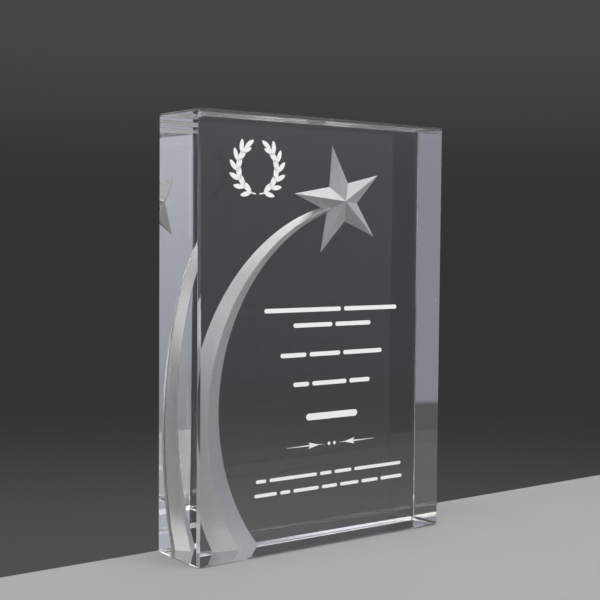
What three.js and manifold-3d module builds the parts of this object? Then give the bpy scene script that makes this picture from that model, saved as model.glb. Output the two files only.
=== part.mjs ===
// A block award of clear crystal, 5 by 7 inches, with a silver star and its tail let into the back and
// a white print on the front. Millimetres, +Z up. The front faces -Y, and the origin is the middle of
// the underside.
import * as THREE from "three";
import { ConvexGeometry } from "three/addons/geometries/ConvexGeometry.js";
import { mergeVertices } from "three/addons/utils/BufferGeometryUtils.js";
import Module from "manifold-3d";

const wasm = await Module();
wasm.setup();

// Block
const blockWidth = 127;
const blockDepth = 31;
const blockHeight = 177.8;
const edgeChamfer = 1;

// Bond line between the block and what is let into it. It is wider along the depth, where facets slope.
const bondGap = 0.3;
const bondGapDeep = 0.45;
const cutPast = 2; // how far a cutter runs out of the block

// Star, cut into the back. Bearings run anticlockwise from the right, as seen from the front.
const starAcross = 19.4; // centre, right of the block's middle
const starBelowTop = 33.2;
const starTipRadius = 24.4;
const starNotchRadius = 8.8;
const starTipBearings = [29.7, 100.4, 173.5, 245.2, 321.7];
const starTipDepth = 0.2;
const starNotchDepth = 1.7;
const starApexDepth = 7.4;

// Tail: a ridge between two elliptical edges, from the star's lower left notch down to the foot.
const tailSideMargin = 6.6; // from the block's side to the outer edge at its waist
const tailWaistWidth = 14.4;
const tailOuterWaistHeight = 48;
const tailInnerWaistHeight = 56.9;
const tailOuterRoot = { left: 9.8, below: 2.8 }; // where each edge meets the star, from its centre
const tailInnerRoot = { left: 4.7, below: 4.3 };
const tailOuterCrown = 21.1; // how far right of its root each ellipse has its top
const tailInnerCrown = 22.2;
const tailRidgeDepthRoot = 2.5;
const tailRidgeDepthFoot = 6;
const tailWallRoot = 0.2;
const tailWallFoot = 1.5;
const tailOverrun = 3; // degrees of sweep past the root and past the foot, before trimming
const tailRecessOverrun = 5;
const tailSteps = 48;

// Print on the front: bars stand where words would be. Heights are of a line's middle, above the underside.
const printThickness = 0.15;
const printAcross = 2; // middle of the column, right of the block's middle
const wordGap = 1.7;
const wordStep = 1; // word lengths are counted in this step
const topPairHeight = 99.3;
const topPairSpacing = 6.3; // down to the second line
const thirdLineHeight = 80.9;
const fourthLineHeight = 68.8;
const boldLineHeight = 55;
const lowPairHeight = 30.9;
const lowPairSpacing = 5.7; // down to the seventh line
const plainBar = 1.8;
const boldBar = 2.8;
const smallBar = 1.4;
const printLines = [
  { height: topPairHeight, bar: plainBar, words: [39, 29] },
  { height: topPairHeight - topPairSpacing, bar: plainBar, words: [20, 19] },
  { height: thirdLineHeight, bar: plainBar, words: [13, 16, 21] },
  { height: fourthLineHeight, bar: plainBar, words: [8, 18, 11] },
  { height: boldLineHeight, bar: boldBar, words: [27] },
  { height: lowPairHeight, bar: smallBar, words: [5, 24, 6, 9, 26] },
  { height: lowPairHeight - lowPairSpacing, bar: smallBar, words: [11, 5, 13, 8, 10, 9, 12] },
];
const barEndSteps = 5;

// Divider under the boldest line: two darts that point at two diamonds.
const dividerHeight = 43.1;
const diamondWidth = 2;
const diamondHeight = 1.9;
const diamondGap = 0.9;
const dartGap = 1.4; // from a dart's point to the nearest diamond
const dartLength = 19.5;
const dartHeadLength = 8.3; // from the point back to the barbs
const dartSpikeLength = 3.4; // the slender stretch ahead of the head
const dartSpike = 0.16; // half its height where the head begins
const dartBarb = 1.3;
const dartNotch = 0.8; // how far the shaft cuts back into the head
const dartShaft = 0.28; // half the shaft's height at the head
const dartTailEnd = 0.07;

// Laurel wreath in the upper left corner
const laurelFromSide = 27;
const laurelBelowTop = 22;
const laurelRadius = 10;
const laurelStem = 0.5;
const laurelFootAngle = 5; // degrees between a branch's end and straight down
const laurelTopAngle = 145;
const laurelStemSteps = 24;
const leafPairs = 6;
const leafLength = 5.2;
const leafWidth = 1.9;
const leafSpread = 32; // degrees between a leaf and the stem
const leafSteps = 6;
const topLeafShare = 0.98; // of the stem's sweep, so that the last leaf starts inside it

const crystal = new THREE.MeshStandardMaterial({
  color: 0xdde3e8,
  roughness: 0.02,
  metalness: 0,
  transparent: true,
  opacity: 0.35,
});
const satinSilver = new THREE.MeshStandardMaterial({ color: 0xc6c5c4, roughness: 0.38, metalness: 0.85 });
const whitePrint = new THREE.MeshStandardMaterial({ color: 0xf2f2f0, roughness: 0.55, metalness: 0 });

const backFace = blockDepth / 2;
const frontFace = -blockDepth / 2;
const starCentre = new THREE.Vector2(starAcross, blockHeight - starBelowTop);
const radians = THREE.MathUtils.degToRad;
const lerp = THREE.MathUtils.lerp;

function toSolid(geometry) {
  const bare = geometry.clone();
  bare.deleteAttribute("normal");
  bare.deleteAttribute("uv");
  const merged = mergeVertices(bare, 1e-4);
  return new wasm.Manifold(
    new wasm.Mesh({
      numProp: 3,
      vertProperties: new Float32Array(merged.attributes.position.array),
      triVerts: new Uint32Array(merged.index.array),
    }),
  );
}

function toGeometry(solid) {
  const { vertProperties, triVerts } = solid.getMesh();
  const geometry = new THREE.BufferGeometry();
  geometry.setAttribute("position", new THREE.BufferAttribute(vertProperties, 3));
  geometry.setIndex(new THREE.BufferAttribute(triVerts, 1));
  const faceted = geometry.toNonIndexed();
  faceted.computeVertexNormals();
  return faceted;
}

// A closed shell from a list of triangles, each of three corners.
function shell(triangles) {
  const geometry = new THREE.BufferGeometry().setFromPoints(triangles.flat());
  return toSolid(mergeVertices(geometry, 1e-4));
}

// The faces between two rings of corners.
function band(ring, next) {
  return ring.flatMap((corner, i) => {
    const j = (i + 1) % ring.length;
    return [
      [corner, ring[j], next[j]],
      [corner, next[j], next[i]],
    ];
  });
}

// Closes a ring of corners with triangles to a middle point.
function fan(ring, middle) {
  return ring.map((corner, i) => [corner, ring[(i + 1) % ring.length], middle]);
}

// The convex hull of three points near each corner is a box with all its edges chamfered.
function blockBlank() {
  const halfSizes = [blockWidth / 2, blockDepth / 2, blockHeight / 2];
  const signs = [-1, 1];
  const points = [];
  for (const x of signs) {
    for (const y of signs) {
      for (const z of signs) {
        for (const face of [0, 1, 2]) {
          const reach = halfSizes.map((half, axis) => (axis === face ? half : half - edgeChamfer));
          points.push(new THREE.Vector3(x * reach[0], y * reach[1], z * reach[2] + blockHeight / 2));
        }
      }
    }
  }
  return toSolid(new ConvexGeometry(points));
}

// Outline on the back face, seen from the front: a tip and the notch after it, anticlockwise.
function starOutline() {
  const polar = (radius, bearing) =>
    new THREE.Vector2(radius, 0).rotateAround(new THREE.Vector2(), radians(bearing)).add(starCentre);
  return starTipBearings.flatMap((bearing, i) => {
    const last = i === starTipBearings.length - 1;
    const nextBearing = last ? starTipBearings[0] + 360 : starTipBearings[i + 1];
    return [polar(starTipRadius, bearing), polar(starNotchRadius, (bearing + nextBearing) / 2)];
  });
}

// Moves every edge of an anticlockwise outline outwards by the gap.
function widened(outline, gap) {
  const outward = (from, to) => new THREE.Vector2(to.y - from.y, from.x - to.x).normalize();
  return outline.map((point, i) => {
    const before = outward(outline[(i + outline.length - 1) % outline.length], point);
    const after = outward(point, outline[(i + 1) % outline.length]);
    const mitre = gap / (1 + before.dot(after));
    return before.add(after).multiplyScalar(mitre).add(point);
  });
}

function starSolid(gap, gapDeep, backAt) {
  const outline = widened(starOutline(), gap);
  const front = outline.map(({ x, y }, i) => {
    const depth = (i % 2 === 0 ? starTipDepth : starNotchDepth) + gapDeep;
    return new THREE.Vector3(x, backFace - depth, y);
  });
  const back = outline.map(({ x, y }) => new THREE.Vector3(x, backAt, y));
  const apex = new THREE.Vector3(starCentre.x, backFace - starApexDepth - gapDeep, starCentre.y);
  const hub = new THREE.Vector3(starCentre.x, backAt, starCentre.y);
  return shell([...fan(front, apex), ...band(back, front), ...fan(back.toReversed(), hub)]);
}

// One edge of the tail: an ellipse whose leftmost point is its waist and which passes the root.
function tailEdge(waistAcross, waistHeight, root, crown) {
  const rootAt = new THREE.Vector2(starCentre.x - root.left, starCentre.y - root.below);
  const halfWidth = rootAt.x - waistAcross + crown;
  const halfHeight = (rootAt.y - waistHeight) / Math.sqrt(1 - (crown / halfWidth) ** 2);
  return {
    startAngle: Math.PI - Math.acos(crown / halfWidth),
    endAngle: Math.PI + Math.asin(Math.min(1, waistHeight / halfHeight)),
    at: (angle) =>
      new THREE.Vector2(
        waistAcross + halfWidth * (1 + Math.cos(angle)),
        waistHeight + halfHeight * Math.sin(angle),
      ),
  };
}

function tailSolid(gap, gapDeep, backAt, overrun) {
  const waistAcross = tailSideMargin - blockWidth / 2;
  const outer = tailEdge(waistAcross, tailOuterWaistHeight, tailOuterRoot, tailOuterCrown);
  const inner = tailEdge(waistAcross + tailWaistWidth, tailInnerWaistHeight, tailInnerRoot, tailInnerCrown);
  const along = (edge, share) =>
    edge.at(lerp(edge.startAngle - radians(overrun), edge.endAngle + radians(overrun), share));
  const rings = [];
  for (let step = 0; step <= tailSteps; step++) {
    const share = step / tailSteps;
    const outerAt = along(outer, share);
    const innerAt = along(inner, share);
    const ridgeAt = outerAt.clone().lerp(innerAt, 0.5);
    const aside = outerAt.clone().sub(innerAt).setLength(gap);
    outerAt.add(aside);
    innerAt.sub(aside);
    const wall = backFace - lerp(tailWallRoot, tailWallFoot, share) - gapDeep;
    const ridge = backFace - lerp(tailRidgeDepthRoot, tailRidgeDepthFoot, Math.sqrt(share)) - gapDeep;
    rings.push([
      new THREE.Vector3(outerAt.x, backAt, outerAt.y),
      new THREE.Vector3(outerAt.x, wall, outerAt.y),
      new THREE.Vector3(ridgeAt.x, ridge, ridgeAt.y),
      new THREE.Vector3(innerAt.x, wall, innerAt.y),
      new THREE.Vector3(innerAt.x, backAt, innerAt.y),
    ]);
  }
  const middle = (ring) => ring[0].clone().lerp(ring[4], 0.5);
  const first = rings[0];
  const last = rings[rings.length - 1];
  return shell([
    ...fan(first, middle(first)),
    ...rings.slice(1).flatMap((ring, i) => band(ring, rings[i])),
    ...fan(last.toReversed(), middle(last)),
  ]);
}

// Lays a flat shape, drawn in across and up, on the front face as a layer of print.
function printed(shape, curveSegments) {
  const layer = new THREE.ExtrudeGeometry(shape, {
    depth: printThickness,
    bevelEnabled: false,
    curveSegments,
  });
  return layer.rotateX(Math.PI / 2);
}

function wordBar(length, height) {
  const radius = height / 2;
  const straight = length / 2 - radius;
  const shape = new THREE.Shape();
  shape.absarc(straight, 0, radius, -Math.PI / 2, Math.PI / 2);
  shape.absarc(-straight, 0, radius, Math.PI / 2, (3 * Math.PI) / 2);
  return printed(shape, barEndSteps);
}

function diamond() {
  return printed(
    new THREE.Shape([
      new THREE.Vector2(diamondWidth / 2, 0),
      new THREE.Vector2(0, diamondHeight / 2),
      new THREE.Vector2(-diamondWidth / 2, 0),
      new THREE.Vector2(0, -diamondHeight / 2),
    ]),
  );
}

// A dart whose point is at the origin. Side is 1 where it lies to the right of its point, -1 to the left.
function dart(side) {
  const upper = [
    [dartSpikeLength, dartSpike],
    [dartHeadLength, dartBarb],
    [dartHeadLength - dartNotch, dartShaft],
    [dartLength, dartTailEnd],
  ];
  const lower = upper.map(([x, y]) => [x, -y]).reverse();
  const outline = [[0, 0], ...upper, ...lower];
  return printed(new THREE.Shape(outline.map(([x, y]) => new THREE.Vector2(side * x, y))));
}

// A leaf from the origin along +X, with two bowed edges.
function leafShape(length, width) {
  const shape = new THREE.Shape();
  shape.moveTo(0, 0);
  shape.quadraticCurveTo(length * 0.45, width, length, 0);
  shape.quadraticCurveTo(length * 0.45, -width, 0, 0);
  return shape;
}

// One branch of the wreath round the origin: a bent stem, pairs of leaves and a leaf at the top.
function laurelBranch(side) {
  const angleAt = (share) => side * radians(lerp(laurelFootAngle, laurelTopAngle, share)) - Math.PI / 2;
  const onStem = (share, radius) => [radius * Math.cos(angleAt(share)), radius * Math.sin(angleAt(share))];
  const stem = new THREE.Shape();
  stem.absarc(0, 0, laurelRadius + laurelStem / 2, angleAt(0), angleAt(1), side < 0);
  stem.absarc(0, 0, laurelRadius - laurelStem / 2, angleAt(1), angleAt(0), side > 0);
  let branch = toSolid(printed(stem, laurelStemSteps));
  const addLeaf = (share, spread, length) => {
    const heading = angleAt(share) + side * (Math.PI / 2 + radians(spread));
    const leaf = printed(leafShape(length, leafWidth), leafSteps);
    leaf.rotateY(-heading);
    const [across, up] = onStem(share, laurelRadius);
    branch = branch.add(toSolid(leaf.translate(across, 0, up)));
  };
  for (let pair = 0; pair < leafPairs; pair++) {
    const share = (pair + 0.6) / (leafPairs + 0.4);
    addLeaf(share, leafSpread, leafLength);
    addLeaf(share, -leafSpread, leafLength);
  }
  addLeaf(topLeafShare, 0, leafLength);
  return toGeometry(branch);
}

const award = new THREE.Group();

function place(name, geometry, material, x = 0, y = 0, z = 0) {
  const mesh = new THREE.Mesh(geometry, material);
  mesh.name = name;
  mesh.position.set(x, y, z);
  award.add(mesh);
}

const placePrint = (name, geometry, across, up) => place(name, geometry, whitePrint, across, frontFace, up);

function addBlockAndInlays() {
  const blank = blockBlank();
  const starRecess = starSolid(bondGap, bondGapDeep, backFace + cutPast);
  const tailRecess = tailSolid(bondGap, bondGapDeep, backFace + cutPast, tailRecessOverrun);
  const tail = tailSolid(0, 0, backFace + cutPast, tailOverrun).intersect(blank).subtract(starRecess);
  place("crystal_block", toGeometry(blank.subtract(starRecess).subtract(tailRecess)), crystal);
  place("star_inlay", toGeometry(starSolid(0, 0, backFace)), satinSilver);
  place("comet_tail_inlay", toGeometry(tail), satinSilver);
}

function addPrintedLines() {
  printLines.forEach(({ height, bar, words }, line) => {
    const lengths = words.map((steps) => steps * wordStep);
    const lineLength = lengths.reduce((sum, length) => sum + length + wordGap, -wordGap);
    let left = printAcross - lineLength / 2;
    lengths.forEach((length, i) => {
      placePrint(`print_line_${line + 1}_word_${i + 1}`, wordBar(length, bar), left + length / 2, height);
      left += length + wordGap;
    });
  });
}

function addDivider() {
  for (const [side, hand] of [
    [-1, "left"],
    [1, "right"],
  ]) {
    const diamondAcross = (side * (diamondGap + diamondWidth)) / 2;
    const dartAcross = side * (diamondGap / 2 + diamondWidth + dartGap);
    placePrint(`divider_${hand}_diamond`, diamond(), printAcross + diamondAcross, dividerHeight);
    placePrint(`divider_${hand}_dart`, dart(side), printAcross + dartAcross, dividerHeight);
  }
}

function addLaurel() {
  const across = laurelFromSide - blockWidth / 2;
  placePrint("laurel_left_branch", laurelBranch(-1), across, blockHeight - laurelBelowTop);
  placePrint("laurel_right_branch", laurelBranch(1), across, blockHeight - laurelBelowTop);
}

addBlockAndInlays();
addPrintedLines();
addDivider();
addLaurel();

export default award;
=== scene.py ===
# A clear block award with a satin silver star and its tail let into the back, and a white print
# on the front. Sizes in the dictionaries are in millimetres and angles in degrees. The scene
# itself is in metres, with +Z up and the front facing -Y.
import math

import bmesh
import bpy
from mathutils import Matrix, Vector


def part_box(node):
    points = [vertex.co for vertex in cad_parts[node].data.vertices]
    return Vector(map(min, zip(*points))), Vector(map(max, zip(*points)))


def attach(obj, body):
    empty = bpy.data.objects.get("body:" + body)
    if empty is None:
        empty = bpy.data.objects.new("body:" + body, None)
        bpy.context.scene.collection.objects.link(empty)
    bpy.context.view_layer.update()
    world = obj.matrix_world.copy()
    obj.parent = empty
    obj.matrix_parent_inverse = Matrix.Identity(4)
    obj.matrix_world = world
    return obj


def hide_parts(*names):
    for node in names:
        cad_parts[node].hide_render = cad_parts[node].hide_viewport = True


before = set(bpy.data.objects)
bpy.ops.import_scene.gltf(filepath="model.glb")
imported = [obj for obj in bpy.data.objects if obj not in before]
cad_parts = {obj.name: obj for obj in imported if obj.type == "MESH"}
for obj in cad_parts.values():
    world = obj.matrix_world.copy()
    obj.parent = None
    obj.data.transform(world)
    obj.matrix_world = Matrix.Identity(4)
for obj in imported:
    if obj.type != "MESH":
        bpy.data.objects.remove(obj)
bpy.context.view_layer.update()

mm = 0.001
bondOverlap = 0.02 * mm  # how far touching pieces run into each other, so that no faces coincide
mergeDistance = 0.001 * mm  # points closer than this become one
blockLow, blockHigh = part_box("crystal_block")
backFace = blockHigh.y
frontFace = blockLow.y
hands = ((-1, "left"), (1, "right"))


# Adds a node. Inputs are given by name or number, as values or as sockets to link from.
def addNode(tree, kind, inputs=None, **settings):
    node = tree.nodes.new(kind)
    for name, value in settings.items():
        setattr(node, name, value)
    for key, value in (inputs or {}).items():
        if isinstance(value, bpy.types.NodeSocket):
            tree.links.new(value, node.inputs[key])
        else:
            node.inputs[key].default_value = value
    return node


# The result of one sum in a tree. Each value is a number or a socket.
def calc(tree, operation, *values):
    node = addNode(tree, "ShaderNodeMath", dict(enumerate(values)), operation=operation)
    return node.outputs[0]


# A value on its way from low to high.
def between(tree, factor, low, high):
    ends = {"Factor": factor, "A": low, "B": high}
    return addNode(tree, "ShaderNodeMix", ends, data_type="FLOAT").outputs[0]


# An empty group. Returns it with the sockets that its own nodes read from and write to.
def newGroup(treeType, name, inputs, outputs):
    tree = bpy.data.node_groups.new(name, treeType)
    for label, socketType in inputs.items():
        tree.interface.new_socket(label, in_out="INPUT", socket_type="NodeSocket" + socketType)
    for label, socketType in outputs.items():
        tree.interface.new_socket(label, in_out="OUTPUT", socket_type="NodeSocket" + socketType)
    return tree, tree.nodes.new("NodeGroupInput").outputs, tree.nodes.new("NodeGroupOutput").inputs


# Puts a group into a tree of the same kind.
def placeGroup(tree, group, inputs):
    return addNode(tree, tree.bl_idname.replace("Tree", "Group"), inputs, node_tree=group)


# A vector from coordinates given by name.
def vector(tree, values):
    return addNode(tree, "ShaderNodeCombineXYZ", values).outputs[0]


# A vector's own coordinates, by name.
def parts(tree, place):
    return addNode(tree, "ShaderNodeSeparateXYZ", {"Vector": place}).outputs


# A point's own place, as X, Y and Z.
def pointPlace(tree):
    return parts(tree, tree.nodes.new("GeometryNodeInputPosition").outputs[0])


def joined(tree, *geometries):
    join = tree.nodes.new("GeometryNodeJoinGeometry")
    for geometry in geometries:
        tree.links.new(geometry, join.inputs[0])
    return join.outputs[0]


# Ends a tree as the export needs it: real geometry, with its material.
def endTree(tree, geometry, material, output):
    real = addNode(tree, "GeometryNodeRealizeInstances", {"Geometry": geometry})
    coated = addNode(
        tree,
        "GeometryNodeSetMaterial",
        {"Geometry": real.outputs[0], "Material": material},
    )
    tree.links.new(coated.outputs[0], output)


# Puts a tree on an object as a modifier and sets its inputs, by the identifiers of the sockets.
def runTree(piece, tree, values):
    modifier = piece.modifiers.new(tree.name, "NODES")
    modifier.node_group = tree
    for socket in tree.interface.items_tree:
        if socket.in_out == "INPUT" and socket.name in values:
            modifier[socket.identifier] = values[socket.name]


# Replaces a piece's mesh by what its modifiers make of it.
def settle(piece):
    evaluated = piece.evaluated_get(bpy.context.evaluated_depsgraph_get())
    made = bpy.data.meshes.new_from_object(evaluated)
    piece.modifiers.clear()
    piece.data = made
    made.name = piece.name


def newObject(name, data):
    piece = bpy.data.objects.new(name, data)
    bpy.context.scene.collection.objects.link(piece)
    return piece


def meshFrom(name, shape):
    bmesh.ops.recalc_face_normals(shape, faces=shape.faces)
    mesh = bpy.data.meshes.new(name)
    shape.to_mesh(mesh)
    shape.free()
    return mesh


# Gives a finished piece its finish and its place in the part, and hides the solids it stands for.
def finishPiece(piece, material, nodes):
    piece.data.materials.clear()
    piece.data.materials.append(material)
    for face in piece.data.polygons:
        face.material_index = 0
    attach(piece, "root")
    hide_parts(*nodes)


# Merges a piece's doubled points and turns its faces outwards.
def outwards(piece):
    shape = bmesh.new()
    shape.from_mesh(piece.data)
    bmesh.ops.remove_doubles(shape, verts=shape.verts, dist=mergeDistance)
    bmesh.ops.recalc_face_normals(shape, faces=shape.faces)
    shape.to_mesh(piece.data)
    shape.free()


print("helpers ready")

# Effects that several finishes share

# Uneven patches, at two sizes, from 0 to 1. Each size has its own noise detail and weight.
mottle, mottleIn, mottleOut = newGroup(
    "ShaderNodeTree",
    "mottle",
    {"Vector": "Vector", "Patch Size": "Float", "Detail Size": "Float", "Contrast": "Float"},
    {"Mask": "Float"},
)
mottleSum = 0.0
for patch, detail, weight in (("Patch Size", 2.0, 0.6), ("Detail Size", 3.0, 0.4)):
    density = calc(mottle, "DIVIDE", 1.0, mottleIn[patch])
    noise = addNode(
        mottle,
        "ShaderNodeTexNoise",
        {"Vector": mottleIn["Vector"], "Scale": density, "Detail": detail},
    )
    mottleSum = calc(mottle, "MULTIPLY_ADD", noise.outputs[0], weight, mottleSum)
mottleShift = calc(mottle, "SUBTRACT", mottleSum, 0.5)
mottleShift = calc(mottle, "MULTIPLY", mottleShift, mottleIn["Contrast"])
mottleMask = addNode(mottle, "ShaderNodeClamp", {"Value": calc(mottle, "ADD", mottleShift, 0.5)})
mottle.links.new(mottleMask.outputs[0], mottleOut["Mask"])

# Streaks that run along the first coordinate, as a cutter leaves them, fine ones in broad bands.
# The tone mixes both. Pitch and length are in metres.
bandDensity = 0.17  # broad bands for each fine line
cutterLines, cutterIn, cutterOut = newGroup(
    "ShaderNodeTree",
    "cutterLines",
    {"Vector": "Vector", "Pitch": "Float", "Streak Length": "Float"},
    {"Height": "Float", "Tone": "Float"},
)
cutterSplit = parts(cutterLines, cutterIn["Vector"])
cutterAlong = calc(cutterLines, "DIVIDE", cutterSplit["X"], cutterIn["Streak Length"])
cutterAcross = calc(cutterLines, "DIVIDE", cutterSplit["Y"], cutterIn["Pitch"])
cutterPlace = vector(cutterLines, {"X": cutterAlong, "Y": cutterAcross})
cutterStreaks = addNode(
    cutterLines,
    "ShaderNodeTexNoise",
    {"Vector": cutterPlace, "Scale": 1.0, "Detail": 2.0, "Roughness": 0.6},
)
cutterBands = addNode(
    cutterLines,
    "ShaderNodeTexNoise",
    {"Vector": cutterPlace, "Scale": bandDensity, "Detail": 1.0},
)
cutterTone = between(cutterLines, 0.5, cutterStreaks.outputs[0], cutterBands.outputs[0])
cutterLines.links.new(cutterStreaks.outputs[0], cutterOut["Height"])
cutterLines.links.new(cutterTone, cutterOut["Tone"])


# A material with a Principled shader. Returns the material, its tree and the shader.
def newFinish(name):
    material = bpy.data.materials.new(name)
    material.use_nodes = True
    tree = material.node_tree
    tree.nodes.clear()
    shader = tree.nodes.new("ShaderNodeBsdfPrincipled")
    addNode(tree, "ShaderNodeOutputMaterial", {"Surface": shader.outputs[0]})
    return material, tree, shader


def objectPlace(tree):
    return tree.nodes.new("ShaderNodeTexCoord").outputs["Object"]


# A value or colour that runs from low to high with a mask.
def blend(tree, mask, low, high):
    if isinstance(low, tuple):
        ends = {6: (*low, 1), 7: (*high, 1)}  # a Mix node's two colours go by number
        return addNode(tree, "ShaderNodeMix", {"Factor": mask} | ends, data_type="RGBA").outputs[2]
    ends = {"To Min": low, "To Max": high}
    return addNode(tree, "ShaderNodeMapRange", {"Value": mask} | ends).outputs[0]


crystalLook = {
    "tintLow": (0.972, 0.982, 0.985),
    "tintHigh": (0.985, 0.99, 0.99),
    "ior": 1.48,
    "faceRoughness": 0.0,
    "wipeRoughness": 0.006,  # where a cloth has left a trace
    "chamferRoughness": 0.12,
    "wipeSize": 38.0,
    "traceSize": 4.0,
    "wipeContrast": 4.0,
}
crystal, tree, shader = newFinish("crystal")
wipes = placeGroup(
    tree,
    mottle,
    {
        "Vector": objectPlace(tree),
        "Patch Size": crystalLook["wipeSize"] * mm,
        "Detail Size": crystalLook["traceSize"] * mm,
        "Contrast": crystalLook["wipeContrast"],
    },
).outputs["Mask"]
faceGloss = blend(tree, wipes, crystalLook["faceRoughness"], crystalLook["wipeRoughness"])
chamferMask = addNode(tree, "ShaderNodeAttribute", attribute_name="chamfer").outputs["Fac"]
gloss = calc(tree, "MULTIPLY_ADD", chamferMask, crystalLook["chamferRoughness"], faceGloss)
crystalTint = blend(tree, wipes, crystalLook["tintLow"], crystalLook["tintHigh"])
tree.links.new(gloss, shader.inputs["Roughness"])
tree.links.new(crystalTint, shader.inputs["Base Color"])
shader.inputs["IOR"].default_value = crystalLook["ior"]
shader.inputs["Transmission Weight"].default_value = 1.0

silverLook = {
    "colourLow": (0.74, 0.735, 0.735),
    "colourHigh": (0.88, 0.875, 0.87),
    "roughnessLow": 0.43,
    "roughnessHigh": 0.53,
    "linePitch": 0.22,
    "lineLength": 14.0,
    "lineDepth": 0.012,
    "patchSize": 0.99,  # of the fine sandy grain that lies over the lines
    "grainSize": 0.45,
    "grainDepth": 0.006,
    "grainContrast": 3.0,
}
satinSilver, tree, shader = newFinish("satinSilver")
machined = addNode(tree, "ShaderNodeUVMap", uv_map="machined").outputs["UV"]
lines = placeGroup(
    tree,
    cutterLines,
    {
        "Vector": machined,
        "Pitch": silverLook["linePitch"] * mm,
        "Streak Length": silverLook["lineLength"] * mm,
    },
)
silverGrain = placeGroup(
    tree,
    mottle,
    {
        "Vector": objectPlace(tree),
        "Patch Size": silverLook["patchSize"] * mm,
        "Detail Size": silverLook["grainSize"] * mm,
        "Contrast": silverLook["grainContrast"],
    },
).outputs["Mask"]
silverTone = calc(tree, "MULTIPLY", calc(tree, "ADD", lines.outputs["Tone"], silverGrain), 0.5)
silverColour = blend(tree, silverTone, silverLook["colourLow"], silverLook["colourHigh"])
silverGloss = blend(tree, silverTone, silverLook["roughnessHigh"], silverLook["roughnessLow"])
tree.links.new(silverColour, shader.inputs["Base Color"])
tree.links.new(silverGloss, shader.inputs["Roughness"])
lineBump = addNode(
    tree,
    "ShaderNodeBump",
    {
        "Height": lines.outputs["Height"],
        "Distance": silverLook["lineDepth"] * mm,
        "Strength": 1.0,
    },
)
grainBump = addNode(
    tree,
    "ShaderNodeBump",
    {
        "Height": silverGrain,
        "Distance": silverLook["grainDepth"] * mm,
        "Strength": 1.0,
        "Normal": lineBump.outputs[0],
    },
)
tree.links.new(grainBump.outputs[0], shader.inputs["Normal"])
shader.inputs["Metallic"].default_value = 1.0

inkLook = {
    "colourLow": (0.92, 0.92, 0.915),
    "colourHigh": (0.96, 0.96, 0.955),
    "roughnessLow": 0.5,
    "roughnessHigh": 0.62,
    "patchSize": 6.0,
    "grainSize": 0.35,
    "grainDepth": 0.01,
    "grainContrast": 2.0,
}
whiteInk, tree, shader = newFinish("whiteInk")
inkGrain = placeGroup(
    tree,
    mottle,
    {
        "Vector": objectPlace(tree),
        "Patch Size": inkLook["patchSize"] * mm,
        "Detail Size": inkLook["grainSize"] * mm,
        "Contrast": inkLook["grainContrast"],
    },
).outputs["Mask"]
inkColour = blend(tree, inkGrain, inkLook["colourLow"], inkLook["colourHigh"])
inkGloss = blend(tree, inkGrain, inkLook["roughnessHigh"], inkLook["roughnessLow"])
tree.links.new(inkColour, shader.inputs["Base Color"])
tree.links.new(inkGloss, shader.inputs["Roughness"])
inkBump = addNode(
    tree,
    "ShaderNodeBump",
    {"Height": inkGrain, "Distance": inkLook["grainDepth"] * mm, "Strength": 1.0},
)
tree.links.new(inkBump.outputs[0], shader.inputs["Normal"])
print("finishes ready")

# The clear block

block = {
    "chamfer": 1.0,
    "edgeRounding": 0.12,  # what polishing takes off the chamfers' own edges
    "roundingSteps": 2,
}


def bevelEdges(shape, width, steps):
    bmesh.ops.bevel(
        shape,
        geom=shape.edges[:],
        offset=width,
        offset_type="OFFSET",
        segments=steps,
        profile=0.5,
        affect="EDGES",
    )


# A chamfered box, from corner to corner.
def chamferedBox(low, high, chamfer):
    shape = bmesh.new()
    bmesh.ops.create_cube(shape, size=1.0)
    for vertex in shape.verts:
        vertex.co = Vector(high[i] if vertex.co[i] > 0 else low[i] for i in range(3))
    bevelEdges(shape, chamfer, 1)
    return shape


# Whether a face looks straight along one of the axes, to within about 2.5 degrees.
def isSquare(face):
    return max(abs(part) for part in face.normal) > 0.999


shape = chamferedBox(blockLow, blockHigh, block["chamfer"] * mm)
bevelEdges(shape, block["edgeRounding"] * mm, block["roundingSteps"])
crystalBlock = newObject("crystal_body", meshFrom("crystal_body", shape))
chamferFlag = crystalBlock.data.attributes.new("chamfer", "FLOAT", "FACE")
for i, face in enumerate(crystalBlock.data.polygons):
    chamferFlag.data[i].value = 0.0 if isSquare(face) else 1.0
finishPiece(crystalBlock, crystal, ["crystal_block"])
print("block made")

# The star

star = {
    "across": 19.4,  # centre, right of the block's middle
    "belowTop": 33.2,
    "tipRadius": 24.4,
    "notchRadius": 8.8,
    "tipBearings": [29.7, 100.4, 173.5, 245.2, 321.7],
    "tipDepth": 0.2,
    "notchDepth": 1.7,
    "apexDepth": 7.4,
    "wallLean": 0.45,  # how far the walls lean in, for each millimetre towards the back
    "ridgeRounding": 0.06,
    "roundingSteps": 2,
    "roundedAngle": 12.0,  # an edge is rounded where its faces turn by more than this
}
starAcross = star["across"] * mm
starHeight = blockHigh.z - star["belowTop"] * mm


def starOutline():
    tips = star["tipBearings"]
    outline = []
    for i, bearing in enumerate(tips):
        following = tips[i + 1] if i + 1 < len(tips) else tips[0] + 360
        notch = (bearing + following) / 2
        for angle, radius in ((bearing, star["tipRadius"]), (notch, star["notchRadius"])):
            across = radius * mm * math.cos(math.radians(angle))
            up = radius * mm * math.sin(math.radians(angle))
            outline.append((starAcross + across, starHeight + up))
    return outline


# Writes each face's own lengthwise and crosswise distances, in metres, for the cutter's lines.
def layLines(shape, lengthwise):
    chart = shape.loops.layers.uv.new("machined")
    for face in shape.faces:
        start, along = lengthwise(face)
        across = face.normal.cross(along)
        for loop in face.loops:
            reach = loop.vert.co - start
            loop[chart].uv = (reach.dot(along), reach.dot(across))


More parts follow.
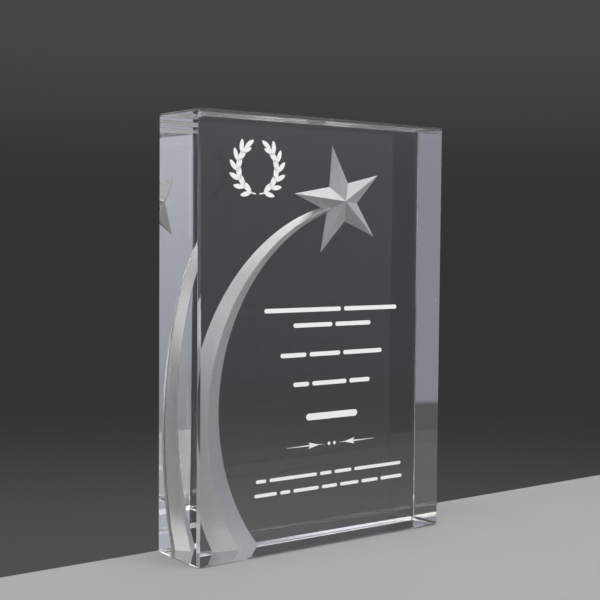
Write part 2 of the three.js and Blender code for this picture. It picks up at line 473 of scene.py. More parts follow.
# The faceted star as a closed solid, from its ridges back to a plane past the block's back.
def starSolid(reach):
    shape = bmesh.new()
    ring, backRing = [], []
    for i, (across, up) in enumerate(starOutline()):
        depth = star["notchDepth" if i % 2 else "tipDepth"] * mm
        front = Vector((across, backFace - depth, up))
        inwards = (Vector((apex.x, front.y, apex.z)) - front).normalized()
        wall = inwards * star["wallLean"] * depth + Vector((0, depth + reach, 0))
        ring.append(shape.verts.new(front))
        backRing.append(shape.verts.new(front + wall))
    apexVertex = shape.verts.new(apex)
    for i in range(len(ring)):
        j = (i + 1) % len(ring)
        shape.faces.new((apexVertex, ring[i], ring[j]))
        shape.faces.new((ring[i], backRing[i], backRing[j], ring[j]))
    shape.faces.new(backRing)
    bmesh.ops.recalc_face_normals(shape, faces=shape.faces)
    shape.normal_update()
    return shape


apex = Vector((starAcross, backFace - star["apexDepth"] * mm, starHeight))
tipPlaces = [Vector((across, backFace, up)) for across, up in starOutline()[::2]]


# The cutter's lines run along each ridge, out to its tip.
def starLines(face):
    if isSquare(face):
        return apex, Vector((1, 0, 0))
    middle = face.calc_center_median()
    tip = min(tipPlaces, key=lambda place: (place - middle).length)
    along = tip - apex
    along -= along.dot(face.normal) * face.normal
    return apex, along.normalized()


shape = starSolid(bondOverlap)
layLines(shape, starLines)
starInlay = newObject("star", meshFrom("star", shape))
rounding = starInlay.modifiers.new("ridges", "BEVEL")
rounding.width = star["ridgeRounding"] * mm
rounding.segments = star["roundingSteps"]
rounding.limit_method = "ANGLE"
rounding.angle_limit = math.radians(star["roundedAngle"])
settle(starInlay)
finishPiece(starInlay, satinSilver, ["star_inlay"])
print("star made")

# The tail, a ridge swept between two elliptical edges

tail = {
    "sideMargin": 6.6,  # from the block's side to the outer edge at its waist
    "waistWidth": 14.4,
    # An edge's waist is its leftmost point, its root lies left of and below the star's centre, and
    # its crown, the top of its ellipse, lies right of the root.
    "outer": {"waistHeight": 48.0, "rootLeft": 9.8, "rootBelow": 2.8, "crown": 21.1},
    "inner": {"waistHeight": 56.9, "rootLeft": 4.7, "rootBelow": 4.3, "crown": 22.2},
    "ridgeDepthRoot": 2.5,
    "ridgeDepthFoot": 6.0,
    "ridgeFlat": 0.35,  # width of the worn flat along the ridge
    "wallRoot": 0.2,
    "wallFoot": 1.5,
    "wallLean": 0.45,
    "length": 170.0,  # from root to foot, for the cutter's lines alone
    "overrun": 4.0,  # angle swept past the root and the foot, before trimming
    "trimReach": 2.0,  # how far the star's cut runs past the back
    "steps": 180,
    "sharpAngle": 8.0,  # an edge stays sharp where its faces turn by more than this
}

edgeGroup, edgeIn, edgeOut = newGroup(
    "GeometryNodeTree",
    "ellipticalEdge",
    {
        "Share": "Float",
        "Waist Across": "Float",
        "Waist Height": "Float",
        "Half Width": "Float",
        "Half Height": "Float",
        "Start": "Float",
        "End": "Float",
    },
    {"Across": "Float", "Up": "Float"},
)
sweep = calc(edgeGroup, "SUBTRACT", edgeIn["End"], edgeIn["Start"])
angle = calc(edgeGroup, "MULTIPLY_ADD", edgeIn["Share"], sweep, edgeIn["Start"])
reach = calc(edgeGroup, "ADD", calc(edgeGroup, "COSINE", angle), 1.0)
edgeAcross = calc(edgeGroup, "MULTIPLY_ADD", reach, edgeIn["Half Width"], edgeIn["Waist Across"])
rise = calc(edgeGroup, "SINE", angle)
edgeUp = calc(edgeGroup, "MULTIPLY_ADD", rise, edgeIn["Half Height"], edgeIn["Waist Height"])
edgeGroup.links.new(edgeAcross, edgeOut["Across"])
edgeGroup.links.new(edgeUp, edgeOut["Up"])

edgeInputs = ("Waist Across", "Waist Height", "Half Width", "Half Height", "Start", "End")
tailTree, tailIn, tailOut = newGroup(
    "GeometryNodeTree",
    "taperedRidge",
    {"Geometry": "Geometry", "Steps": "Int"}
    | {side + " " + name: "Float" for side in ("Outer", "Inner") for name in edgeInputs}
    | {name: "Float" for name in ("Ridge Root", "Ridge Foot", "Ridge Flat")}
    | {name: "Float" for name in ("Wall Root", "Wall Foot", "Wall Lean", "Back")}
    | {"Material": "Material"},
    {"Geometry": "Geometry"},
)

# A grid, bent into a closed ring at each step. A ring's points are numbered from its middle, which
# is the ridge: 0.5 is the ridge's worn edge, 1.5 the wall's front and 2.5 its back, on each side.
ringPoints = 6
grid = addNode(
    tailTree,
    "GeometryNodeMeshGrid",
    {
        "Size X": 1.0,
        "Size Y": 1.0,
        "Vertices X": tailIn["Steps"],
        "Vertices Y": ringPoints + 1,
    },
)
gridPlace = pointPlace(tailTree)
share = calc(tailTree, "ADD", gridPlace["X"], 0.5)
ringPoint = calc(tailTree, "MULTIPLY_ADD", gridPlace["Y"], float(ringPoints), ringPoints / 2)
ringPoint = calc(tailTree, "ROUND", ringPoint)
ringPoint = calc(tailTree, "FLOORED_MODULO", ringPoint, float(ringPoints))
ringPoint = calc(tailTree, "SUBTRACT", ringPoint, (ringPoints - 1) / 2)
edges = {}
for side in ("Outer", "Inner"):
    numbers = {name: tailIn[side + " " + name] for name in edgeInputs}
    edges[side] = placeGroup(tailTree, edgeGroup, {"Share": share} | numbers).outputs

# The first and the last ring shrink to a point, which closes the ends.
nearlyHalf = 0.4999
isEnd = calc(tailTree, "GREATER_THAN", calc(tailTree, "ABSOLUTE", gridPlace["X"]), nearlyHalf)
widthAcross = calc(tailTree, "SUBTRACT", edges["Inner"]["Across"], edges["Outer"]["Across"])
widthUp = calc(tailTree, "SUBTRACT", edges["Inner"]["Up"], edges["Outer"]["Up"])
widthSquared = calc(
    tailTree,
    "ADD",
    calc(tailTree, "MULTIPLY", widthAcross, widthAcross),
    calc(tailTree, "MULTIPLY", widthUp, widthUp),
)
width = calc(tailTree, "SQRT", widthSquared)
fromRidge = calc(tailTree, "ABSOLUTE", ringPoint)
atFront = calc(tailTree, "LESS_THAN", fromRidge, 2.0)
atRidge = calc(tailTree, "LESS_THAN", fromRidge, 1.0)
halfFlat = calc(tailTree, "DIVIDE", calc(tailTree, "MULTIPLY", tailIn["Ridge Flat"], 0.5), width)
aside = between(tailTree, atRidge, 0.5, halfFlat)
aside = calc(tailTree, "MULTIPLY", calc(tailTree, "SIGN", ringPoint), aside)
crosswise = calc(tailTree, "ADD", aside, 0.5)
wallDepth = between(tailTree, share, tailIn["Wall Root"], tailIn["Wall Foot"])
inset = calc(tailTree, "DIVIDE", calc(tailTree, "MULTIPLY", wallDepth, tailIn["Wall Lean"]), width)
inset = between(tailTree, atFront, calc(tailTree, "MULTIPLY", inset, 2.0), 0.0)
leaning = between(tailTree, inset, crosswise, 0.5)
middling = between(tailTree, isEnd, leaning, 0.5)
across = between(tailTree, middling, edges["Outer"]["Across"], edges["Inner"]["Across"])
up = between(tailTree, middling, edges["Outer"]["Up"], edges["Inner"]["Up"])
deepening = calc(tailTree, "SQRT", share)
ridgeDepth = between(tailTree, deepening, tailIn["Ridge Root"], tailIn["Ridge Foot"])
depth = calc(tailTree, "MULTIPLY", atFront, between(tailTree, atRidge, wallDepth, ridgeDepth))
depth = between(tailTree, isEnd, depth, calc(tailTree, "MULTIPLY", wallDepth, 0.5))
away = calc(tailTree, "SUBTRACT", tailIn["Back"], depth)

# Each point keeps its distances along and across the tail, for the cutter's lines.
fromMiddle = calc(tailTree, "MULTIPLY", aside, width)
fromRoot = calc(tailTree, "MULTIPLY", share, tail["length"] * mm)
chart = addNode(
    tailTree,
    "GeometryNodeCaptureAttribute",
    {"Geometry": grid.outputs["Mesh"]},
)
chart.capture_items.new("VECTOR", "Chart")
tailTree.links.new(vector(tailTree, {"X": fromRoot, "Y": fromMiddle}), chart.inputs["Chart"])
swept = addNode(
    tailTree,
    "GeometryNodeSetPosition",
    {
        "Geometry": chart.outputs["Geometry"],
        "Position": vector(tailTree, {"X": across, "Y": away, "Z": up}),
    },
)
charted = addNode(
    tailTree,
    "GeometryNodeStoreNamedAttribute",
    {"Geometry": swept.outputs[0], "Name": "machined", "Value": chart.outputs["Chart"]},
    data_type="FLOAT2",
    domain="CORNER",
)
closed = addNode(
    tailTree,
    "GeometryNodeMergeByDistance",
    {"Geometry": charted.outputs[0], "Distance": mergeDistance},
)
endTree(tailTree, closed.outputs[0], tailIn["Material"], tailOut["Geometry"])


# The numbers of one edge's ellipse: its leftmost point is the waist, and it passes the root.
def ellipse(edge, waistAcross):
    waistHeight = edge["waistHeight"] * mm
    rootAcross = starAcross - edge["rootLeft"] * mm
    rootHeight = starHeight - edge["rootBelow"] * mm
    crown = edge["crown"] * mm
    halfWidth = rootAcross - waistAcross + crown
    halfHeight = (rootHeight - waistHeight) / math.sqrt(1 - (crown / halfWidth) ** 2)
    spare = math.radians(tail["overrun"])
    start = math.pi - math.acos(crown / halfWidth) - spare
    end = math.pi + math.asin(waistHeight / halfHeight) + spare
    return dict(zip(edgeInputs, (waistAcross, waistHeight, halfWidth, halfHeight, start, end)))


waistAcross = blockLow.x + tail["sideMargin"] * mm
tailNumbers = {
    "Steps": tail["steps"],
    "Ridge Root": tail["ridgeDepthRoot"] * mm,
    "Ridge Foot": tail["ridgeDepthFoot"] * mm,
    "Ridge Flat": tail["ridgeFlat"] * mm,
    "Wall Root": tail["wallRoot"] * mm,
    "Wall Foot": tail["wallFoot"] * mm,
    "Wall Lean": tail["wallLean"],
    "Back": backFace + bondOverlap,
    "Material": satinSilver,
}
for side, offset in (("outer", 0.0), ("inner", tail["waistWidth"] * mm)):
    for name, value in ellipse(tail[side], waistAcross + offset).items():
        tailNumbers[side.title() + " " + name] = value
cometTail = newObject("comet_tail", bpy.data.meshes.new("comet_tail"))
runTree(cometTail, tailTree, tailNumbers)
settle(cometTail)
outwards(cometTail)


def cut(piece, cutter, operation):
    boolean = piece.modifiers.new(operation, "BOOLEAN")
    boolean.operation = operation
    boolean.solver = "EXACT"
    boolean.object = cutter


grown = Vector((bondOverlap,) * 3)
shape = chamferedBox(blockLow - grown, blockHigh + grown, block["chamfer"] * mm)
blockTrim = newObject("blockTrim", meshFrom("blockTrim", shape))
starTrim = newObject("starTrim", meshFrom("starTrim", starSolid(tail["trimReach"] * mm)))
cut(cometTail, blockTrim, "INTERSECT")
cut(cometTail, starTrim, "DIFFERENCE")
settle(cometTail)
for helper in (blockTrim, starTrim):
    bpy.data.objects.remove(helper)
cometTail.data.shade_smooth()
cometTail.data.set_sharp_from_angle(angle=math.radians(tail["sharpAngle"]))
finishPiece(cometTail, satinSilver, ["comet_tail_inlay"])
print("tail made,", len(cometTail.data.polygons), "faces")

# The print

ink = {
    "thickness": 0.15,
    "airGap": 0.005,  # the ink lies on the polish without wetting it, so the side shows no print
    "columnAcross": 2.0,  # middle of the lines, right of the block's middle
    "wordGap": 1.7,
    "roundSteps": 26,
}
inkDepth = (ink["thickness"] - ink["airGap"]) * mm

# Makes a closed layer of a flat face that lies in the plane of X and Y.
layer, layerIn, layerOut = newGroup(
    "GeometryNodeTree",
    "inkLayer",
    {"Mesh": "Geometry", "Thickness": "Float"},
    {"Mesh": "Geometry"},
)
thickening = vector(layer, {"Z": layerIn["Thickness"]})
raised = addNode(
    layer,
    "GeometryNodeExtrudeMesh",
    {"Mesh": layerIn["Mesh"], "Offset": thickening, "Individual": False},
)
underside = addNode(layer, "GeometryNodeFlipFaces", {"Mesh": layerIn["Mesh"]})
layerShell = joined(layer, raised.outputs["Mesh"], underside.outputs[0])
layerMerged = addNode(
    layer,
    "GeometryNodeMergeByDistance",
    {"Geometry": layerShell, "Distance": mergeDistance},
)
layer.links.new(layerMerged.outputs[0], layerOut["Mesh"])


# Ends a print's tree: stands the flat shape up on the front face and gives it its ink.
def standUp(tree, flat, place, material, output):
    upright = addNode(
        tree,
        "GeometryNodeTransform",
        {"Geometry": flat, "Translation": place, "Rotation": (math.pi / 2, 0, 0)},
    )
    endTree(tree, upright.outputs[0], material, output)


# One bar with round ends for each point, as long as the point's wordLength says.
barTree, barIn, barOut = newGroup(
    "GeometryNodeTree",
    "wordBars",
    {
        "Geometry": "Geometry",
        "Bar Height": "Float",
        "Round Steps": "Int",
        "Thickness": "Float",
        "Place": "Vector",
        "Material": "Material",
    },
    {"Geometry": "Geometry"},
)
barRadius = calc(barTree, "MULTIPLY", barIn["Bar Height"], 0.5)
disc = addNode(
    barTree,
    "GeometryNodeCurvePrimitiveCircle",
    {"Resolution": barIn["Round Steps"], "Radius": barRadius},
)
discEnd = addNode(barTree, "GeometryNodeCaptureAttribute", {"Geometry": disc.outputs[0]})
discEnd.capture_items.new("FLOAT", "End")
barTree.links.new(calc(barTree, "SIGN", pointPlace(barTree)["X"]), discEnd.inputs["End"])
discs = addNode(
    barTree,
    "GeometryNodeInstanceOnPoints",
    {"Points": barIn["Geometry"], "Instance": discEnd.outputs["Geometry"]},
)
discsReal = addNode(barTree, "GeometryNodeRealizeInstances", {"Geometry": discs.outputs[0]})
wordLength = addNode(
    barTree,
    "GeometryNodeInputNamedAttribute",
    {"Name": "wordLength"},
    data_type="FLOAT",
)
straight = calc(barTree, "SUBTRACT", wordLength.outputs[0], barIn["Bar Height"])
halfStraight = calc(barTree, "MULTIPLY", straight, 0.5)
stretch = vector(barTree, {"X": calc(barTree, "MULTIPLY", discEnd.outputs["End"], halfStraight)})
barCurves = addNode(
    barTree,
    "GeometryNodeSetPosition",
    {"Geometry": discsReal.outputs[0], "Offset": stretch},
)
barFaces = addNode(barTree, "GeometryNodeFillCurve", {"Curve": barCurves.outputs[0]}, mode="NGONS")
barLayer = placeGroup(
    barTree,
    layer,
    {"Mesh": barFaces.outputs[0], "Thickness": barIn["Thickness"]},
)
standUp(barTree, barLayer.outputs[0], barIn["Place"], barIn["Material"], barOut["Geometry"])

wordLines = [
    {"height": 99.3, "bar": 1.8, "words": [39, 29]},
    {"height": 93.0, "bar": 1.8, "words": [20, 19]},
    {"height": 80.9, "bar": 1.8, "words": [13, 16, 21]},
    {"height": 68.8, "bar": 1.8, "words": [8, 18, 11]},
    {"height": 55.0, "bar": 2.8, "words": [27]},
    {"height": 30.9, "bar": 1.4, "words": [5, 24, 6, 9, 26]},
    {"height": 25.2, "bar": 1.4, "words": [11, 5, 13, 8, 10, 9, 12]},
]
inkBase = frontFace - ink["airGap"] * mm
for number, line in enumerate(wordLines, 1):
    lengths = line["words"]
    left = -(sum(lengths) + ink["wordGap"] * (len(lengths) - 1)) / 2
    places = []
    for length in lengths:
        places.append(((left + length / 2) * mm, 0, 0))
        left += length + ink["wordGap"]
    points = bpy.data.meshes.new("word_line_%d" % number)
    points.from_pydata(places, [], [])
    pointLengths = points.attributes.new("wordLength", "FLOAT", "POINT")
    pointLengths.data.foreach_set("value", [length * mm for length in lengths])
    words = newObject("word_line_%d" % number, points)
    runTree(
        words,
        barTree,
        {
            "Bar Height": line["bar"] * mm,
            "Round Steps": ink["roundSteps"],
            "Thickness": inkDepth,
            "Place": (ink["columnAcross"] * mm, inkBase, line["height"] * mm),
            "Material": whiteInk,
        },
    )
    settle(words)
    outwards(words)
    nodes = ["print_line_%d_word_%d" % (number, word) for word in range(1, len(lengths) + 1)]
    finishPiece(words, whiteInk, nodes)
print("word bars made")

divider = {
    "height": 43.1,
    "diamondWidth": 1.65,
    "diamondHeight": 1.75,
    "diamondGap": 1.25,
    "dartGap": 1.575,  # from a dart's point to the nearest diamond
    # A dart's upper edge, from its point: how far along, and half the dart's height there.
    "dart": [(0, 0), (3.4, 0.14), (8.3, 1.3), (7.5, 0.26), (19.5, 0.03)],
}


# A layer of ink with a straight-sided outline.
def flatPrint(name, outline, nodes):
    shape = bmesh.new()
    face = shape.faces.new([shape.verts.new((x * mm, inkBase, z * mm)) for x, z in outline])
    raised = bmesh.ops.extrude_face_region(shape, geom=[face])
    fresh = [part for part in raised["geom"] if isinstance(part, bmesh.types.BMVert)]
    bmesh.ops.translate(shape, verts=fresh, vec=(0, -inkDepth, 0))
    piece = newObject(name, meshFrom(name, shape))
    finishPiece(piece, whiteInk, nodes)


for side, hand in hands:
    centre = ink["columnAcross"] + side * (divider["diamondGap"] + divider["diamondWidth"]) / 2
    halfWidth, halfHeight = divider["diamondWidth"] / 2, divider["diamondHeight"] / 2
    corners = [(halfWidth, 0), (0, halfHeight), (-halfWidth, 0), (0, -halfHeight)]
    flatPrint(
        "diamond_" + hand,
        [(centre + x, divider["height"] + z) for x, z in corners],
        ["divider_%s_diamond" % hand],
    )
    fromCentre = divider["diamondGap"] / 2 + divider["diamondWidth"] + divider["dartGap"]
    tip = ink["columnAcross"] + side * fromCentre
    upper = divider["dart"]
    corners = upper + [(x, -z) for x, z in reversed(upper[1:])]
    flatPrint(
        "dart_" + hand,
        [(tip + side * x, divider["height"] + z) for x, z in corners],
        ["divider_%s_dart" % hand],
    )
print("divider made")

laurel = {
    "fromSide": 27.0,
    "belowTop": 22.0,
    "radius": 10.0,
    "stemWidth": 0.5,
    "footAngle": 5.0,  # between a branch's foot and straight down
    "topAngle": 145.0,
    "leafPairs": 6,
    "firstPairAt": 0.6,  # from the branch's foot, in spaces between pairs
    "extraSpaces": 0.4,  # what the branch is longer than one space for each pair
    "leafLength": 5.2,
    "leafWidth": 1.9,
    "leafTaper": 1.5,  # 1 makes a leaf an ellipse, and more makes it pointed
    "leafSpread": 32.0,
    "leafSteps": 28,
    "stemSteps": 60,
    "stemLayer": 0.94,  # share of the ink's thickness, so that the leaves lie over the stem
    "topLeafShare": 0.98,
}

# A stem along an arc with pairs of leaves, and a last leaf that goes on from its end.
branchTree, branchIn, branchOut = newGroup(
    "GeometryNodeTree",
    "laurelBranch",
    {
        "Geometry": "Geometry",
        "Radius": "Float",
        "Stem Width": "Float",
        "Stem Steps": "Int",
        "Foot": "Float",
        "Sweep": "Float",
        "Hand": "Float",
        "Leaf Pairs": "Int",
        "Leaf Length": "Float",
        "Leaf Width": "Float",
        "Leaf Steps": "Int",
        "Spread": "Float",
        "Top Leaf Share": "Float",
        "Thickness": "Float",
        "Place": "Vector",
        "Material": "Material",
    },
    {"Geometry": "Geometry"},
)


# The angle and the point at a share of the way up the branch.
def onArc(share, radius):
    angle = calc(branchTree, "MULTIPLY_ADD", share, branchIn["Sweep"], branchIn["Foot"])
    across = calc(branchTree, "MULTIPLY", calc(branchTree, "COSINE", angle), radius)
    up = calc(branchTree, "MULTIPLY", calc(branchTree, "SINE", angle), radius)
    return angle, vector(branchTree, {"X": across, "Y": up})


stemGrid = addNode(
    branchTree,
    "GeometryNodeMeshGrid",
    {"Size X": 1.0, "Size Y": 1.0, "Vertices X": branchIn["Stem Steps"], "Vertices Y": 2},
)
stemPlace = pointPlace(branchTree)
stemShare = calc(branchTree, "ADD", stemPlace["X"], 0.5)
stemRadius = calc(
    branchTree, "MULTIPLY_ADD", stemPlace["Y"], branchIn["Stem Width"], branchIn["Radius"]
)
stemPoint = onArc(stemShare, stemRadius)[1]
stem = addNode(
    branchTree,
    "GeometryNodeSetPosition",
    {"Geometry": stemGrid.outputs["Mesh"], "Position": stemPoint},
)

leafCircle = addNode(
    branchTree,
    "GeometryNodeCurvePrimitiveCircle",
    {"Resolution": branchIn["Leaf Steps"], "Radius": 1.0},
)
leafPlace = pointPlace(branchTree)
leafAlong = calc(
    branchTree,
    "MULTIPLY",
    calc(branchTree, "MULTIPLY_ADD", leafPlace["X"], -0.5, 0.5),
    branchIn["Leaf Length"],
)
leafBow = calc(branchTree, "ABSOLUTE", leafPlace["Y"])
leafBow = calc(branchTree, "POWER", leafBow, laurel["leafTaper"])
leafBow = calc(branchTree, "MULTIPLY", leafBow, calc(branchTree, "SIGN", leafPlace["Y"]))
leafHalf = calc(branchTree, "MULTIPLY", branchIn["Leaf Width"], 0.5)
leafAcross = calc(branchTree, "MULTIPLY", leafBow, leafHalf)
leafOutline = addNode(
    branchTree,
    "GeometryNodeSetPosition",
    {
        "Geometry": leafCircle.outputs[0],
        "Position": vector(branchTree, {"X": leafAlong, "Y": leafAcross}),
    },
)
leafFace = addNode(
    branchTree,
    "GeometryNodeFillCurve",
    {"Curve": leafOutline.outputs[0]},
    mode="NGONS",
)

# The leaves of a pair lie on either side of the stem, and the last leaf lies straight at its end.
pairedLeaves = calc(branchTree, "MULTIPLY", branchIn["Leaf Pairs"], 2.0)
leafCount = calc(branchTree, "ADD", pairedLeaves, 1.0)
leafIndex = addNode(branchTree, "GeometryNodeInputIndex").outputs[0]
pairIndex = calc(branchTree, "FLOOR", calc(branchTree, "MULTIPLY", leafIndex, 0.5))
pairPlace = calc(branchTree, "ADD", pairIndex, laurel["firstPairAt"])
pairSpaces = calc(branchTree, "ADD", branchIn["Leaf Pairs"], laurel["extraSpaces"])
pairShare = calc(branchTree, "DIVIDE", pairPlace, pairSpaces)
lastPaired = calc(branchTree, "SUBTRACT", pairedLeaves, 0.5)
isTop = calc(branchTree, "GREATER_THAN", leafIndex, lastPaired)
leafShare = between(branchTree, isTop, pairShare, branchIn["Top Leaf Share"])
parity = calc(branchTree, "FLOORED_MODULO", leafIndex, 2.0)
leafSide = between(branchTree, isTop, calc(branchTree, "MULTIPLY_ADD", parity, -2.0, 1.0), 0.0)
leafAngle, leafPoint = onArc(leafShare, branchIn["Radius"])
turn = calc(branchTree, "MULTIPLY_ADD", leafSide, branchIn["Spread"], math.pi / 2)
heading = calc(branchTree, "MULTIPLY_ADD", turn, branchIn["Hand"], leafAngle)
leafPoints = addNode(branchTree, "GeometryNodePoints", {"Count": leafCount, "Position": leafPoint})
leaves = addNode(
    branchTree,
    "GeometryNodeInstanceOnPoints",
    {
        "Points": leafPoints.outputs[0],
        "Instance": leafFace.outputs[0],
        "Rotation": vector(branchTree, {"Z": heading}),
    },
)
leavesReal = addNode(branchTree, "GeometryNodeRealizeInstances", {"Geometry": leaves.outputs[0]})
stemThickness = calc(branchTree, "MULTIPLY", branchIn["Thickness"], laurel["stemLayer"])
stemLayer = placeGroup(
    branchTree,
    layer,
    {"Mesh": stem.outputs[0], "Thickness": stemThickness},
)
leafLayer = placeGroup(
    branchTree,
    layer,
    {"Mesh": leavesReal.outputs[0], "Thickness": branchIn["Thickness"]},
)
standUp(
    branchTree,
    joined(branchTree, stemLayer.outputs[0], leafLayer.outputs[0]),
    branchIn["Place"],
    branchIn["Material"],
    branchOut["Geometry"],
)

for side, hand in hands:
    branch = newObject("laurel_" + hand, bpy.data.meshes.new("laurel_" + hand))
    runTree(
        branch,
        branchTree,
        {
            "Radius": laurel["radius"] * mm,
            "Stem Width": laurel["stemWidth"] * mm,
            "Stem Steps": laurel["stemSteps"],
            "Foot": math.radians(side * laurel["footAngle"] - 90),
            "Sweep": math.radians(side * (laurel["topAngle"] - laurel["footAngle"])),
            "Hand": float(side),
            "Leaf Pairs": laurel["leafPairs"],
            "Leaf Length": laurel["leafLength"] * mm,
            "Leaf Width": laurel["leafWidth"] * mm,
            "Leaf Steps": laurel["leafSteps"],
            "Spread": math.radians(laurel["leafSpread"]),
            "Top Leaf Share": laurel["topLeafShare"],
            "Thickness": inkDepth,
            "Place": (
                blockLow.x + laurel["fromSide"] * mm,
                inkBase,
                blockHigh.z - laurel["belowTop"] * mm,
            ),
            "Material": whiteInk,
        },
    )
    settle(branch)
    outwards(branch)
    finishPiece(branch, whiteInk, ["laurel_%s_branch" % hand])
print("laurel made")

# Floor, backdrop and lamps

floor = {
    "left": 900.0,  # these four are its reach past the block's sides
    "right": 1500.0,
    "front": 170.0,
    "behind": 4.0,
    "thickness": 25.0,
    "drop": 0.1,  # the air between the polished underside and the floor
    "chamfer": 1.5,
    "colourLow": (0.36, 0.36, 0.36),
    "colourHigh": (0.40, 0.40, 0.40),
    "patchSize": 90.0,
    "grainSize": 1.5,
    "grainContrast": 1.5,
    "roughness": 0.8,
}
paleFloor, tree, shader = newFinish("paleFloor")
floorGrain = placeGroup(
    tree,
    mottle,
    {
        "Vector": objectPlace(tree),
        "Patch Size": floor["patchSize"] * mm,
        "Detail Size": floor["grainSize"] * mm,
        "Contrast": floor["grainContrast"],
    },
).outputs["Mask"]
floorColour = blend(tree, floorGrain, floor["colourLow"], floor["colourHigh"])
tree.links.new(floorColour, shader.inputs["Base Color"])
shader.inputs["Roughness"].default_value = floor["roughness"]
shader.inputs["Specular IOR Level"].default_value = 0.0
floorLow = Vector((-floor["left"], -floor["front"], -floor["thickness"])) * mm
floorLow += Vector((blockLow.x, frontFace, 0))
floorHigh = Vector((floor["right"], floor["behind"], -floor["drop"])) * mm
floorHigh += Vector((blockHigh.x, backFace, 0))
shape = chamferedBox(floorLow, floorHigh, floor["chamfer"] * mm)
floorSlab = newObject("floor", meshFrom("floor", shape))
floorSlab.data.materials.append(paleFloor)
print("floor laid")

# The backdrop is what camera, glossy and transmission rays meet. All else meets an even grey
# light, and so do rays that a matt surface has sent on through the block.
backdrop = {
    "grey": 0.034,
    "greyAbove": 0.060,
    "greyBelow": 0.078,
    "above": (0.03, 0.17),  # heights of the direction, from -1 to 1, over which it turns lighter
    "below": (-0.13, -0.26),
    "ambient": (0.412, 0.415, 0.40),
}
world = bpy.data.worlds.new("studio")
bpy.context.scene.world = world
world.use_nodes = True
tree = world.node_tree
tree.nodes.clear()
direction = parts(tree, tree.nodes.new("ShaderNodeTexCoord").outputs["Generated"])
seenGrey = backdrop["grey"]
for part, lighter in (("above", "greyAbove"), ("below", "greyBelow")):
    fade = addNode(
        tree,
        "ShaderNodeMapRange",
        {
            "Value": direction["Z"],
            "From Min": backdrop[part][0],
            "From Max": backdrop[part][1],
            "To Max": backdrop[lighter] - backdrop["grey"],
        },
        interpolation_type="SMOOTHSTEP",
    )
    seenGrey = calc(tree, "ADD", seenGrey, fade.outputs[0])
rays = tree.nodes.new("ShaderNodeLightPath").outputs
seen = calc(tree, "MAXIMUM", rays["Is Glossy Ray"], rays["Is Transmission Ray"])
seen = calc(tree, "MAXIMUM", rays["Is Camera Ray"], seen)
seen = calc(tree, "SUBTRACT", seen, rays["Diffuse Depth"])
worldColour = addNode(
    tree,
    "ShaderNodeMix",
    {"Factor": seen, 6: (*backdrop["ambient"], 1), 7: seenGrey},
    data_type="RGBA",
)
background = addNode(tree, "ShaderNodeBackground", {"Color": worldColour.outputs[2]})
addNode(tree, "ShaderNodeOutputWorld", {"Surface": background.outputs[0]})

# Softboxes round the block. Each spans the given yaw and rise, as seen from the aim. Yaw turns
# from straight behind the block to its right. The level is the brightness of its surface, where 1
# is white, and the footShare is the share of it that is left at its lower edge. A softbox that
# starts below level stands upright, and one with a facing stands square to that yaw. Where
# softboxes meet edge to edge, their fading edges overlap, a little apart in distance. Those in
# front reach down past the floor's front edge.
softboxDistance = 1200.0
softboxAim = 90.0  # height of the aim, over the middle of the block's foot
softEdge = 10.0  # width over which a softbox fades at each side
softboxes = {
    "rightPanel": {
        "yaw": (137.3, 169),
        "rise": (-11, 16.5),
        "distance": 515.5,
        "facing": 180,
        "footShare": 0.62,
        "level": 0.507,
        "tint": (0.856, 0.88, 1.0),
    },
    "rightLow": {
        "yaw": (110, 137.934),
        "rise": (-11, 16.5),
        "distance": 516.0,
        "facing": 180,
        "footShare": 0.65,
        "level": 0.54,
        "tint": (0.865, 0.80, 1.0),
    },
    "rightFoot": {
        "yaw": (110, 169),
        "rise": (-24, -9.906),
        "distance": 516.5,
        "facing": 180,
        "level": 0.27,
        "tint": (0.93, 0.95, 1.0),
    },
    "rightUpper": {"yaw": (139, 169), "rise": (17, 37), "level": 3.00, "tint": (0.99, 1.0, 0.955)},
    "rightTop": {"yaw": (139, 169), "rise": (37, 57), "level": 3.57, "tint": (1.0, 0.97, 0.98)},
    "rightSide": {"yaw": (109, 139), "rise": (17, 57), "level": 0.97, "tint": (0.94, 0.97, 1.0)},
    "frontHigh": {"yaw": (169, 199), "rise": (37, 77), "level": 0.99, "tint": (0.94, 0.85, 1.0)},
    "leftLow": {"yaw": (229, 259), "rise": (-3, 17), "level": 1.10, "tint": (0.83, 0.88, 1.0)},
    "leftMiddle": {"yaw": (229, 259), "rise": (17, 37), "level": 2.89, "tint": (0.93, 0.93, 1.0)},
    "leftTop": {"yaw": (199, 229), "rise": (37, 57), "level": 2.63, "tint": (0.98, 1.0, 0.98)},
    "leftCrown": {"yaw": (199, 229), "rise": (57, 77), "level": 5.47, "tint": (1.0, 1.0, 0.96)},
    "farLeft": {"yaw": (259, 289), "rise": (37, 57), "level": 4.00, "tint": (1.0, 0.955, 0.925)},
    "backLeft": {
        "yaw": (-43, -15),
        "rise": (-10, 17),
        "level": 0.246,
        "tint": (0.835, 0.835, 1.0),
    },
    "backLeftFoot": {
        "yaw": (-43, -15),
        "rise": (-24, -9.529),
        "distance": 1201.0,
        "footShare": 0.0,
        "level": 0.058,
        "tint": (0.98, 0.98, 1.0),
    },
    "backLeftHigh": {"yaw": (-71, -43), "rise": (37, 57), "level": 0.75},
    "backMiddle": {"yaw": (15, 47), "rise": (17, 37), "level": 1.45, "tint": (0.91, 0.855, 1.0)},
    "backRight": {"yaw": (47, 79), "rise": (17, 37), "level": 1.35, "tint": (0.86, 0.83, 1.0)},
    "backSideHigh": {"yaw": (47, 79), "rise": (37, 57), "level": 0.39},
    "sideLow": {"yaw": (79, 109), "rise": (-3, 17), "level": 0.52, "tint": (0.88, 0.84, 1.0)},
    "sideMiddle": {"yaw": (79, 109), "rise": (17, 37), "level": 0.33},
}


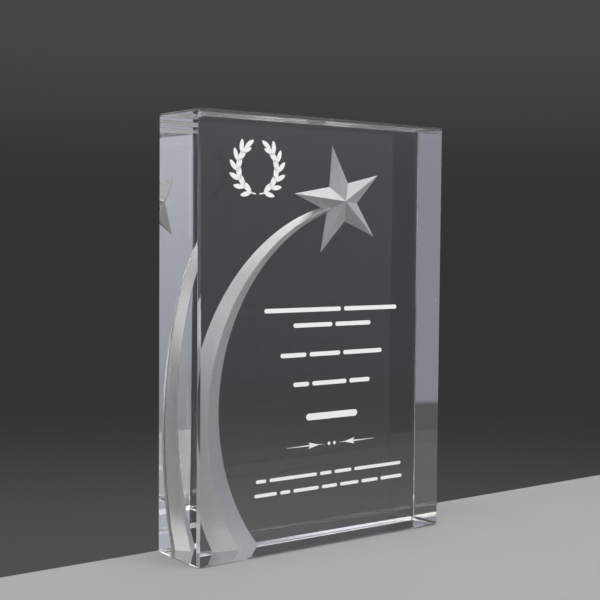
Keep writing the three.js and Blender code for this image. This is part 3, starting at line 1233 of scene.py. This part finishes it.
def addSoftbox(name, box):
    fromYaw, toYaw = (math.radians(angle) for angle in box["yaw"])
    fromRise, toRise = (math.radians(angle) for angle in box["rise"])
    away = box.get("distance", softboxDistance) * mm
    yaw = math.radians(box["facing"]) if "facing" in box else (fromYaw + toYaw) / 2
    rise = 0.0 if fromRise < 0 else (fromRise + toRise) / 2
    heading = Vector(
        (math.sin(yaw) * math.cos(rise), math.cos(yaw) * math.cos(rise), math.sin(rise))
    )
    sideways = Vector((math.cos(yaw), -math.sin(yaw), 0))
    upwards = sideways.cross(heading)
    near, far = (math.tan(edge - yaw) * math.cos(rise) * away for edge in (fromYaw, toYaw))
    lowest, highest = (math.tan(edge - rise) * away for edge in (fromRise, toRise))
    light = bpy.data.lights.new(name, "AREA")
    light.shape = "RECTANGLE"
    light.size = far - near
    light.size_y = highest - lowest
    light.energy = math.pi * box["level"] * light.size * light.size_y
    light.color = box.get("tint", (1, 1, 1))
    light.use_nodes = True
    tree = light.node_tree
    tree.nodes.clear()
    surface = parts(tree, tree.nodes.new("ShaderNodeNewGeometry").outputs["Parametric"])
    footShare = box.get("footShare", 1.0)
    fade = calc(tree, "MULTIPLY_ADD", surface["Y"], 1.0 - footShare, footShare)
    for axis, width in (("X", light.size), ("Y", light.size_y)):
        edge = calc(tree, "MINIMUM", surface[axis], calc(tree, "SUBTRACT", 1.0, surface[axis]))
        ramp = addNode(
            tree,
            "ShaderNodeMapRange",
            {"Value": edge, "From Min": 0.0, "From Max": softEdge * mm / width},
            interpolation_type="SMOOTHSTEP",
        )
        fade = calc(tree, "MULTIPLY", fade, ramp.outputs[0])
    glow = addNode(tree, "ShaderNodeEmission", {"Strength": fade})
    addNode(tree, "ShaderNodeOutputLight", {"Surface": glow.outputs[0]})
    lamp = newObject(name, light)
    lamp.rotation_euler = (-heading).to_track_quat("-Z", "Y").to_euler()
    middle = sideways * (near + far) / 2 + upwards * (lowest + highest) / 2
    lamp.location = Vector((0, 0, softboxAim * mm)) + heading * away + middle
    lamp.visible_camera = False


for name, box in softboxes.items():
    addSoftbox(name, box)
print("studio lit")

# The camera

view = {
    "place": (-306.40, -405.26, 128.52),
    "yaw": 36.771,  # from straight at the front, to the right
    "down": 2.957,
    "roll": 0.479,
    "lens": 71.81,
    "sensor": 36.0,
}
throughBounces = 24  # enough for light to cross the block several times
glossyBounces = 16
cameraData = bpy.data.cameras.new("camera")
cameraData.lens = view["lens"]
cameraData.sensor_width = view["sensor"]
camera = newObject("camera", cameraData)
camera.matrix_world = (
    Matrix.Translation(Vector(view["place"]) * mm)
    @ Matrix.Rotation(math.radians(-view["yaw"]), 4, "Z")
    @ Matrix.Rotation(math.radians(90 - view["down"]), 4, "X")
    @ Matrix.Rotation(math.radians(view["roll"]), 4, "Z")
)
scene = bpy.context.scene
scene.camera = camera
scene.view_settings.view_transform = "Standard"
scene.cycles.max_bounces = throughBounces
scene.cycles.glossy_bounces = glossyBounces
scene.cycles.transmission_bounces = throughBounces

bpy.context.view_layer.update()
